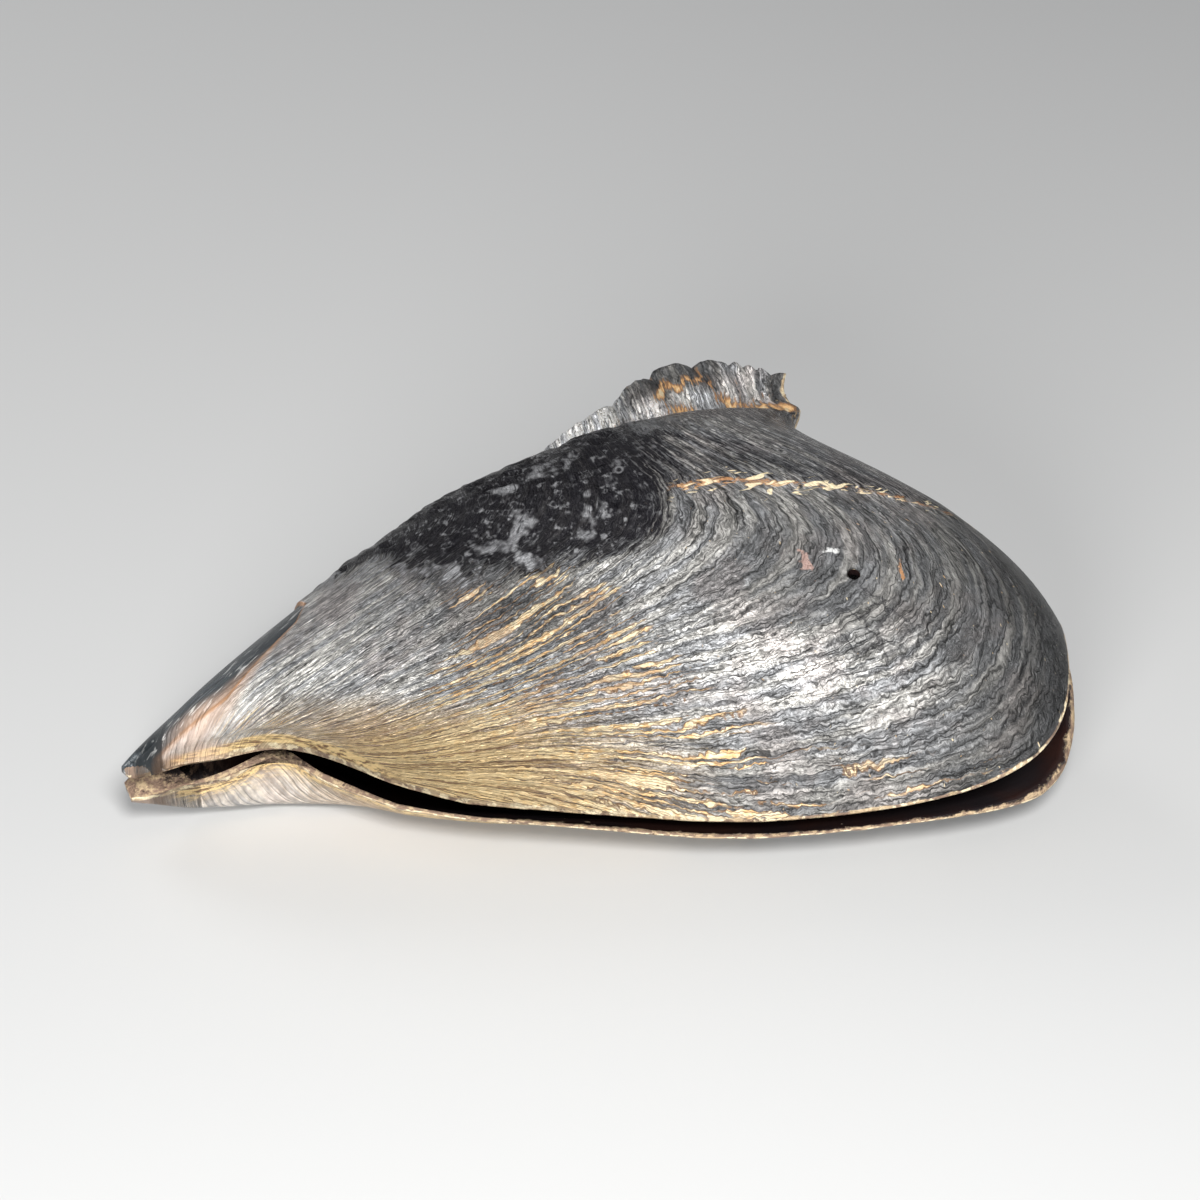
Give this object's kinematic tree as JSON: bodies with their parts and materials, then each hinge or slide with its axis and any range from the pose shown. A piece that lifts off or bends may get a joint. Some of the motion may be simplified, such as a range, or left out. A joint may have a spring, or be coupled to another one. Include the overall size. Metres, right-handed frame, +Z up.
{
  "type": "pen shell",
  "caption": "Closed pen shell: domed, wedge-shaped valves with growth ridges, a layered crest along the back edge and a dried ligament. An ornament that lies on a table.",
  "frame": {"origin": "on the table, below the middle of the shell's bounding box", "axes": "+X from the beak to the broad hind end, +Y from the belly edge to the back edge with the crest, +Z up"},
  "size_m": [0.2307, 0.1273, 0.0848],
  "materials": {
    "left_shell": "satin",
    "right_shell": "satin",
    "dried_horn": "matte"
  },
  "bodies": {
    "root": {"left_valve": "left_shell", "right_valve": "right_shell", "ligament": "dried_horn"}
  },
  "joints": []
}
